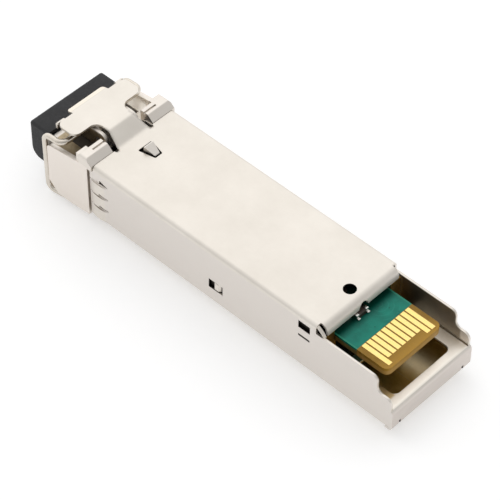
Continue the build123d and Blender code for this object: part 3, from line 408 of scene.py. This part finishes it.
def cast_finish():
    """The casting: cheek faces painted lighter, painted shade in the near pocket, painted light in a duller
    far pocket, and painted shade on the walls behind the sleeve's windows.
    """
    made, tree, shader = plating(
        "cast_nickel", pale=(0.80, 0.75, 0.69), dark=(0.74, 0.69, 0.63), roughness=0.42, grain=1800.0
    )
    soften(tree, shader)
    # mottle of the painted shade in the near pocket
    painted_light_mottle = spread(tree, noise(tree, place(tree), scale=600.0, detail=5.0, rough=0.7), 0.0, 1.0)
    masks = paint(tree, shader, CAST_PATCHES, {
        "near_pocket_painted_shade": blend_colours(tree, painted_light_mottle, (0.27, 0.21, 0.13), (0.50, 0.41, 0.28)),
    })
    metallic = spread(tree, masks["far_pocket_painted_light"], 1.0, FAR_POCKET_METALLIC, 0.0, 1.0)
    link(tree, metallic, shader.inputs["Metallic"])
    return made


def lever_finish():
    """The lever: bare boss, shaded round its foot."""
    made, tree, shader = plating(
        "lever_nickel", pale=(0.785, 0.74, 0.685), dark=(0.72, 0.675, 0.62), roughness=0.38
    )
    paint(tree, shader, LEVER_PATCHES)
    return made


def rubber():
    """Black rubber, paler towards its front rim, and painted brown light from the pocket on the prongs."""
    made, tree, shader = material("plug_rubber")
    where = place(tree)
    clouds = noise(tree, where, scale=300.0, detail=4.0)
    grain = noise(tree, where, scale=4200.0, detail=3.0)
    tone = blend_colours(tree, spread(tree, clouds, 0.0, 1.0), (0.017, 0.017, 0.018), (0.034, 0.034, 0.036))
    link(tree, tone, shader.inputs["Base Color"])
    paint(tree, shader, RUBBER_PATCHES)
    link(tree, spread(tree, grain, 0.50, 0.68), shader.inputs["Roughness"])
    shader.inputs["Specular IOR Level"].default_value = 0.32
    bump(tree, shader, grain, strength=0.5, distance_mm=0.025)
    return made


def laminate():
    """Green solder mask up to the contacts, bare brown laminate under and behind them."""
    made, tree, shader = material("board_laminate")
    where = place(tree)
    clouds = noise(tree, where, scale=500.0, detail=4.0)
    weave = noise(tree, place(tree, WEAVE_STRETCH), scale=2500.0, detail=2.0)

    mask = blend_colours(tree, spread(tree, clouds, 0.0, 1.0), (0.0, 0.155, 0.112), (0.006, 0.265, 0.190))
    centred = node(tree, "ShaderNodeVectorMath", operation="SUBTRACT")
    centred.inputs[1].default_value = (TRACE_CENTRE_MM[0] * MM, TRACE_CENTRE_MM[1] * MM, 0.0)
    link(tree, where, centred.inputs[0])
    rings = node(tree, "ShaderNodeTexWave", wave_type="RINGS", rings_direction="Z", Scale=TRACE_RINGS)
    link(tree, centred.outputs[0], rings.inputs["Vector"])
    lines = spread(tree, rings.outputs["Fac"], 0.0, TRACE_SHARE, *TRACE_BAND)
    traces = combine(tree, "MULTIPLY", lines, within(tree, TRACE_AREA))
    mask = blend_colours(tree, traces, mask, (0.015, 0.27, 0.20))
    vias = node(tree, "ShaderNodeTexVoronoi", Scale=VIA_SCALE)
    link(tree, where, vias.inputs["Vector"])
    dots = spread(tree, vias.outputs["Distance"], VIA_SHARE, 0.0, *VIA_RADII)
    mask = blend_colours(tree, dots, mask, (0.0, 0.07, 0.055))
    shadow = spread(tree, behind(tree, *LIP_SHADOW_END), 1.0, 0.0, 0.0, 1.0)
    mask = blend_colours(tree, shadow, mask, (0.0, 0.042, 0.027))
    mask = overlay(tree, mask, MASK_PATCHES)[0]

    bare = blend_colours(tree, spread(tree, weave, 0.0, 1.0), (0.25, 0.130, 0.012), (0.35, 0.195, 0.022))
    bare = blend_colours(tree, behind(tree, *REAR_GLOW_START), bare, (0.44, 0.24, 0.030))
    bare = overlay(tree, bare, BARE_PATCHES)[0]

    link(tree, blend_colours(tree, behind(tree, *MASK_END), mask, bare), shader.inputs["Base Color"])
    link(tree, spread(tree, clouds, 0.26, 0.38), shader.inputs["Roughness"])
    shader.inputs["Specular IOR Level"].default_value = 0.22
    bump(tree, shader, weave, strength=0.15, distance_mm=0.01)
    return made


def gold():
    made, tree, shader = material("contact_gold")
    where = place(tree)
    clouds = noise(tree, where, scale=900.0)
    tone = blend_colours(tree, spread(tree, clouds, 0.0, 1.0), (0.94, 0.69, 0.235), (0.97, 0.75, 0.29))
    link(tree, tone, shader.inputs["Base Color"])
    link(tree, spread(tree, clouds, 0.20, 0.34), shader.inputs["Roughness"])
    shader.inputs["Metallic"].default_value = 1.0
    bump(tree, shader, noise(tree, where, scale=5000.0, detail=2.0), strength=0.2, distance_mm=0.005)
    return made


def moulded(name, dark, pale, roughness):
    """Ceramic or plastic: cloudy tone and roughness, fine grain in height."""
    made, tree, shader = material(name)
    where = place(tree)
    clouds = noise(tree, where, scale=700.0)
    link(tree, blend_colours(tree, spread(tree, clouds, 0.0, 1.0), dark, pale), shader.inputs["Base Color"])
    cloudy = spread(tree, clouds, roughness - MOULDED_CLOUDS, roughness + MOULDED_CLOUDS)
    link(tree, cloudy, shader.inputs["Roughness"])
    bump(tree, shader, noise(tree, where, scale=4000.0, detail=2.0), strength=0.2, distance_mm=0.01)
    return made


SHEET = sheet_finish()
CAST = cast_finish()
LEVER = lever_finish()
WIRE = plating(
    "wire_nickel", pale=(0.73, 0.68, 0.61), dark=(0.62, 0.565, 0.49), roughness=0.17, streak=(3.0, 1.0, 1.0)
)[0]
STEEL = plating("spring_steel", pale=(0.60, 0.59, 0.58), dark=(0.46, 0.45, 0.44), roughness=0.30)[0]
SOLDER = plating(
    "solder", pale=(0.86, 0.85, 0.82), dark=(0.60, 0.59, 0.56), roughness=0.18, grain=6000.0
)[0]
RUBBER = rubber()
LAMINATE = laminate()
GOLD = gold()
CERAMIC = moulded("chip_ceramic", dark=(0.16, 0.10, 0.055), pale=(0.25, 0.17, 0.10), roughness=0.45)
DARK_CERAMIC = moulded("dark_ceramic", dark=(0.018, 0.012, 0.010), pale=(0.050, 0.032, 0.024), roughness=0.40)
PACKAGE = moulded("black_package", dark=(0.012, 0.012, 0.013), pale=(0.028, 0.028, 0.030), roughness=0.5)
FLEX = moulded("amber_flex", dark=(0.30, 0.13, 0.02), pale=(0.42, 0.20, 0.035), roughness=0.3)

FINISHES = {
    "nickel_sheet": SHEET,
    "cast_nickel": CAST,
    "nickel_wire": WIRE,
    "spring_steel": STEEL,
    "green_laminate": LAMINATE,
    "gold_plating": GOLD,
    "chip_ceramic": CERAMIC,
    "black_package": PACKAGE,
    "amber_flex": FLEX,
    "black_rubber": RUBBER,
}

for entry in frame["record"]["subparts"]:
    shown = nodes[entry["node"]]
    shown.data.materials.clear()
    shown.data.materials.append(FINISHES[entry["material_slot"]])
nodes["latch_lever"].data.materials[0] = LEVER
nodes["filter_inductors"].data.materials[0] = DARK_CERAMIC


def add_piece(name, mesh, finish, body, replaced=(), smooth=True):
    """Puts a mesh into the scene as a piece of the object."""
    made = bpy.data.objects.new(name, mesh)
    bpy.context.scene.collection.objects.link(made)
    made.data.materials.clear()
    made.data.materials.append(finish)
    for face in made.data.polygons:
        face.use_smooth = smooth
    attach(made, body)
    if replaced:
        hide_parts(*replaced)
    return made


# Latch wire: one smooth closed ring

def rounded(corners):
    """Points of a path whose inner corners are rounded by arcs."""
    points = [Vector(corners[0])]
    for before, at, after in zip(corners, corners[1:], corners[2:]):
        corner = Vector(at)
        back = (Vector(before) - corner).normalized()
        ahead = (Vector(after) - corner).normalized()
        half_angle = back.angle(ahead) / 2
        reach = BEND_RADIUS / math.tan(half_angle)
        centre = corner + (back + ahead).normalized() * (BEND_RADIUS / math.sin(half_angle))
        first = corner + back * reach - centre
        last = corner + ahead * reach - centre
        for step in range(BEND_STEPS + 1):
            points.append(centre + first.slerp(last, step / BEND_STEPS))
    points.append(Vector(corners[-1]))
    return points


near_half = rounded(WIRE_CORNERS)
far_half = [Vector((p.x, -p.y, p.z)) for p in reversed(near_half[1:-1])]
ring = near_half + far_half
curve = bpy.data.curves.new("latch_wire_path", "CURVE")
curve.dimensions = "3D"
spline = curve.splines.new("POLY")
spline.points.add(len(ring) - 1)
for point, spot in zip(ring, spline.points):
    spot.co = (*(point * MM), 1.0)
spline.use_cyclic_u = True
curve.bevel_depth = WIRE_RADIUS * MM
curve.bevel_resolution = WIRE_RESOLUTION
guide = bpy.data.objects.new("latch_wire_guide", curve)
bpy.context.scene.collection.objects.link(guide)
bpy.context.view_layer.update()
wire_mesh = bpy.data.meshes.new_from_object(guide.evaluated_get(bpy.context.evaluated_depsgraph_get()))
bpy.data.objects.remove(guide)
add_piece("latch_wire", wire_mesh, WIRE, "bail_body", ("bail",))


# Strip of sheet across the near corner notch of the lip

def finished(shape, name):
    """Turns a mesh in the making into a mesh."""
    mesh = bpy.data.meshes.new(name)
    shape.to_mesh(mesh)
    shape.free()
    return mesh


def bent_strip():
    """A thin strip that follows one curve in the XZ plane and has its width along Y."""
    start, crown, end = (Vector(spot) for spot in (WEB_ENDS[0], WEB_CROWN, WEB_ENDS[1]))
    shape = bmesh.new()
    rows = []
    for step in range(WEB_STEPS + 1):
        t = step / WEB_STEPS
        spot = start * (1 - t) ** 2 + crown * 2 * t * (1 - t) + end * t ** 2
        run = ((crown - start) * (1 - t) + (end - crown) * t).normalized()
        off = Vector((-run.y, run.x)) * WEB_SHEET / 2
        rows.append([
            shape.verts.new(Vector((spot.x + face * off.x, y, spot.y + face * off.y)) * MM)
            for face, y in ((1, WEB_SPAN[0]), (1, WEB_SPAN[1]), (-1, WEB_SPAN[1]), (-1, WEB_SPAN[0]))
        ])
    for first, last in zip(rows, rows[1:]):
        for k in range(4):
            shape.faces.new((first[k], first[(k + 1) % 4], last[(k + 1) % 4], last[k]))
    shape.faces.new(rows[0])
    shape.faces.new(rows[-1])
    bmesh.ops.recalc_face_normals(shape, faces=shape.faces)
    return finished(shape, "corner_web")


add_piece("corner_web", bent_strip(), SHEET, "module_body", smooth=False)


# Leaf spring: a copy of the spring, with a mesh of its own

leaf_mesh = nodes["latch_spring"].data.copy()
leaf = add_piece(
    "latch_leaf", leaf_mesh, STEEL, "module_body", ("latch_spring",), smooth=False
)
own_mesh(leaf)


# Chip under the lip: dark body between two soldered ends

def rounded_box(shape, low, high, edge):
    """Adds a box with rounded edges to a mesh in the making. All values are in millimetres."""
    size = [(b - a) * MM for a, b in zip(low, high)]
    middle = [(a + b) / 2 * MM for a, b in zip(low, high)]
    made = bmesh.ops.create_cube(shape, size=1.0)["verts"]
    bmesh.ops.scale(shape, vec=size, verts=made)
    bmesh.ops.translate(shape, vec=middle, verts=made)
    rims = list({rim for spot in made for rim in spot.link_edges})
    bmesh.ops.bevel(
        shape, geom=rims, offset=edge * MM, segments=EDGE_SEGMENTS, profile=0.5, affect="EDGES"
    )


chip_low, chip_high = (Vector(corner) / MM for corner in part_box("bypass_capacitor"))
chip_rear = chip_high.x - CHIP_SETBACK
body_shape = bmesh.new()
rounded_box(
    body_shape,
    (chip_low.x, chip_low.y + CHIP_CAP, chip_low.z),
    (chip_rear, chip_high.y - CHIP_CAP, chip_high.z - CHIP_CAP_RISE),
    CHIP_BODY_EDGE,
)
add_piece("bypass_chip_body", finished(body_shape, "bypass_chip_body"), DARK_CERAMIC,
          "module_body", ("bypass_capacitor",))

ends_shape = bmesh.new()
for start, end in ((chip_low.y, chip_low.y + CHIP_CAP), (chip_high.y - CHIP_CAP, chip_high.y)):
    rounded_box(ends_shape, (chip_low.x, start, chip_low.z), (chip_rear, end, chip_high.z), CHIP_CAP_EDGE)
    rounded_box(
        ends_shape,
        (chip_rear - SOLDER_OVERLAP, start + SOLDER_INSET, chip_low.z),
        (chip_high.x - SOLDER_INSET, end - SOLDER_INSET, chip_low.z + SOLDER_RISE),
        SOLDER_EDGE,
    )
add_piece("bypass_chip_ends", finished(ends_shape, "bypass_chip_ends"), SOLDER,
          "module_body", ("bypass_capacitor",))


# Floor: pale paper, lifted to white for the camera and in reflections, so that it keeps the shadow

lowest = cad_box[0][2]
bpy.ops.mesh.primitive_plane_add(size=FLOOR_SIZE_M, location=(0.0, 0.0, lowest - FLOOR_GAP))
floor = bpy.context.object
floor.name = "floor"
paper, tree, shader = material("paper")
shader.inputs["Base Color"].default_value = (FLOOR_ALBEDO, FLOOR_ALBEDO, FLOOR_ALBEDO, 1.0)
shader.inputs["Roughness"].default_value = 1.0
shader.inputs["Specular IOR Level"].default_value = 0.0
rays = node(tree, "ShaderNodeLightPath")
seen = combine(tree, "MAXIMUM", rays.outputs["Is Camera Ray"], rays.outputs["Is Glossy Ray"])
seen = combine(tree, "MAXIMUM", seen, rays.outputs["Is Transmission Ray"])
lift = node(tree, "ShaderNodeEmission")
link(tree, combine(tree, "MULTIPLY", seen, FLOOR_LIFT), lift.inputs["Strength"])
both = node(tree, "ShaderNodeAddShader")
link(tree, shader.outputs[0], both.inputs[0])
link(tree, lift.outputs[0], both.inputs[1])
link(tree, both.outputs[0], tree.nodes["Material Output"].inputs["Surface"])
floor.data.materials.append(paper)

# Sky: an even level with a slope to one side, and a glow low over the rear

world = bpy.data.worlds.new("studio")
bpy.context.scene.world = world
world.use_nodes = True
sky = world.node_tree
background = sky.nodes["Background"]
coords = node(sky, "ShaderNodeTexCoord")
slope = node(sky, "ShaderNodeVectorMath", operation="DOT_PRODUCT")
slope.inputs[1].default_value = SKY_SLOPE
link(sky, coords.outputs["Generated"], slope.inputs[0])
level = combine(sky, "ADD", slope.outputs["Value"], SKY_LEVEL)
heading = node(sky, "ShaderNodeSeparateXYZ")
link(sky, coords.outputs["Generated"], heading.inputs[0])
rise = combine(sky, "ABSOLUTE", heading.outputs[2], 0.0)
low_sky = combine(sky, "POWER", combine(sky, "SUBTRACT", 1.0, rise), SKY_GLOW_POWER)
rearward = spread(sky, heading.outputs[0], 0.0, SKY_GLOW, 0.0, SKY_GLOW_WIDTH)
glow = combine(sky, "MULTIPLY", low_sky, rearward)
link(sky, combine(sky, "ADD", level, glow), background.inputs["Strength"])
background.inputs["Color"].default_value = (1.0, 1.0, 1.0, 1.0)

# One large soft lamp

key_data = bpy.data.lights.new("key", "AREA")
key_data.shape = "DISK"
key_data.size = KEY_SIZE_M
key_data.energy = KEY_WATTS
key = bpy.data.objects.new("key", key_data)
bpy.context.scene.collection.objects.link(key)
key.location = KEY_PLACE_M
key.rotation_euler = (Vector(KEY_TARGET_M) - Vector(KEY_PLACE_M)).to_track_quat("-Z", "Y").to_euler()

# Camera

camera_data = bpy.data.cameras.new("camera")
camera = bpy.data.objects.new("camera", camera_data)
bpy.context.scene.collection.objects.link(camera)
camera_data.sensor_width = SENSOR_MM
camera_data.lens = LENS_MM
camera_data.clip_start = CAMERA_CLIP_M
turned = (
    Matrix.Rotation(math.radians(CAMERA_AZIMUTH), 4, "Z")
    @ Matrix.Rotation(math.radians(90.0 - CAMERA_ELEVATION), 4, "X")
    @ Matrix.Rotation(math.radians(-CAMERA_ROLL), 4, "Z")
)
camera.matrix_world = Matrix.Translation(Vector(CAMERA_MM) * MM) @ turned
bpy.context.scene.camera = camera
bpy.context.scene.view_settings.view_transform = "Standard"
